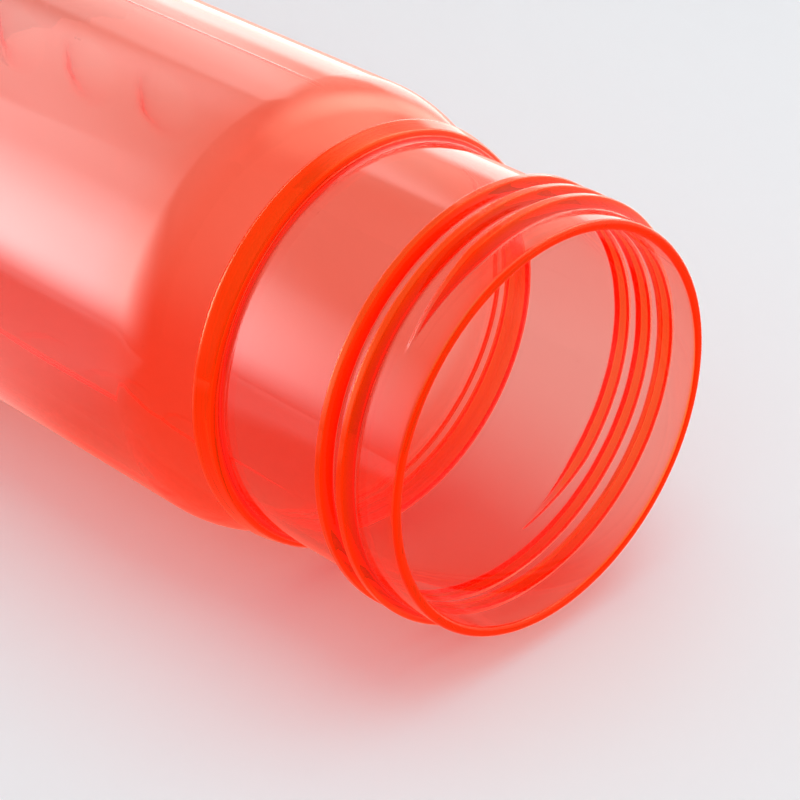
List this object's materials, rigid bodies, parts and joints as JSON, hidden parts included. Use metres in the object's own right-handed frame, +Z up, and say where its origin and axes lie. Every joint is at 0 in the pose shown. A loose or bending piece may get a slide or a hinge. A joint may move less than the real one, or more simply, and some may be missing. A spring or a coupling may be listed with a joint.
{
  "type": "wide-mouth plastic water bottle",
  "caption": "Tall round transparent red plastic water bottle with a wide threaded mouth, a support ring under the neck and a row of finger dimples; no cap.",
  "frame": {"origin": "centre of the base, on the plane that the foot ring stands on", "axes": "+Z up the axis of the bottle towards the mouth; the row of finger dimples is on the -X +Y side"},
  "size_m": [0.07, 0.07, 0.225],
  "materials": {
    "bottle": "clear tinted, glossy"
  },
  "bodies": {
    "root": {"bottle": "bottle"}
  },
  "joints": []
}
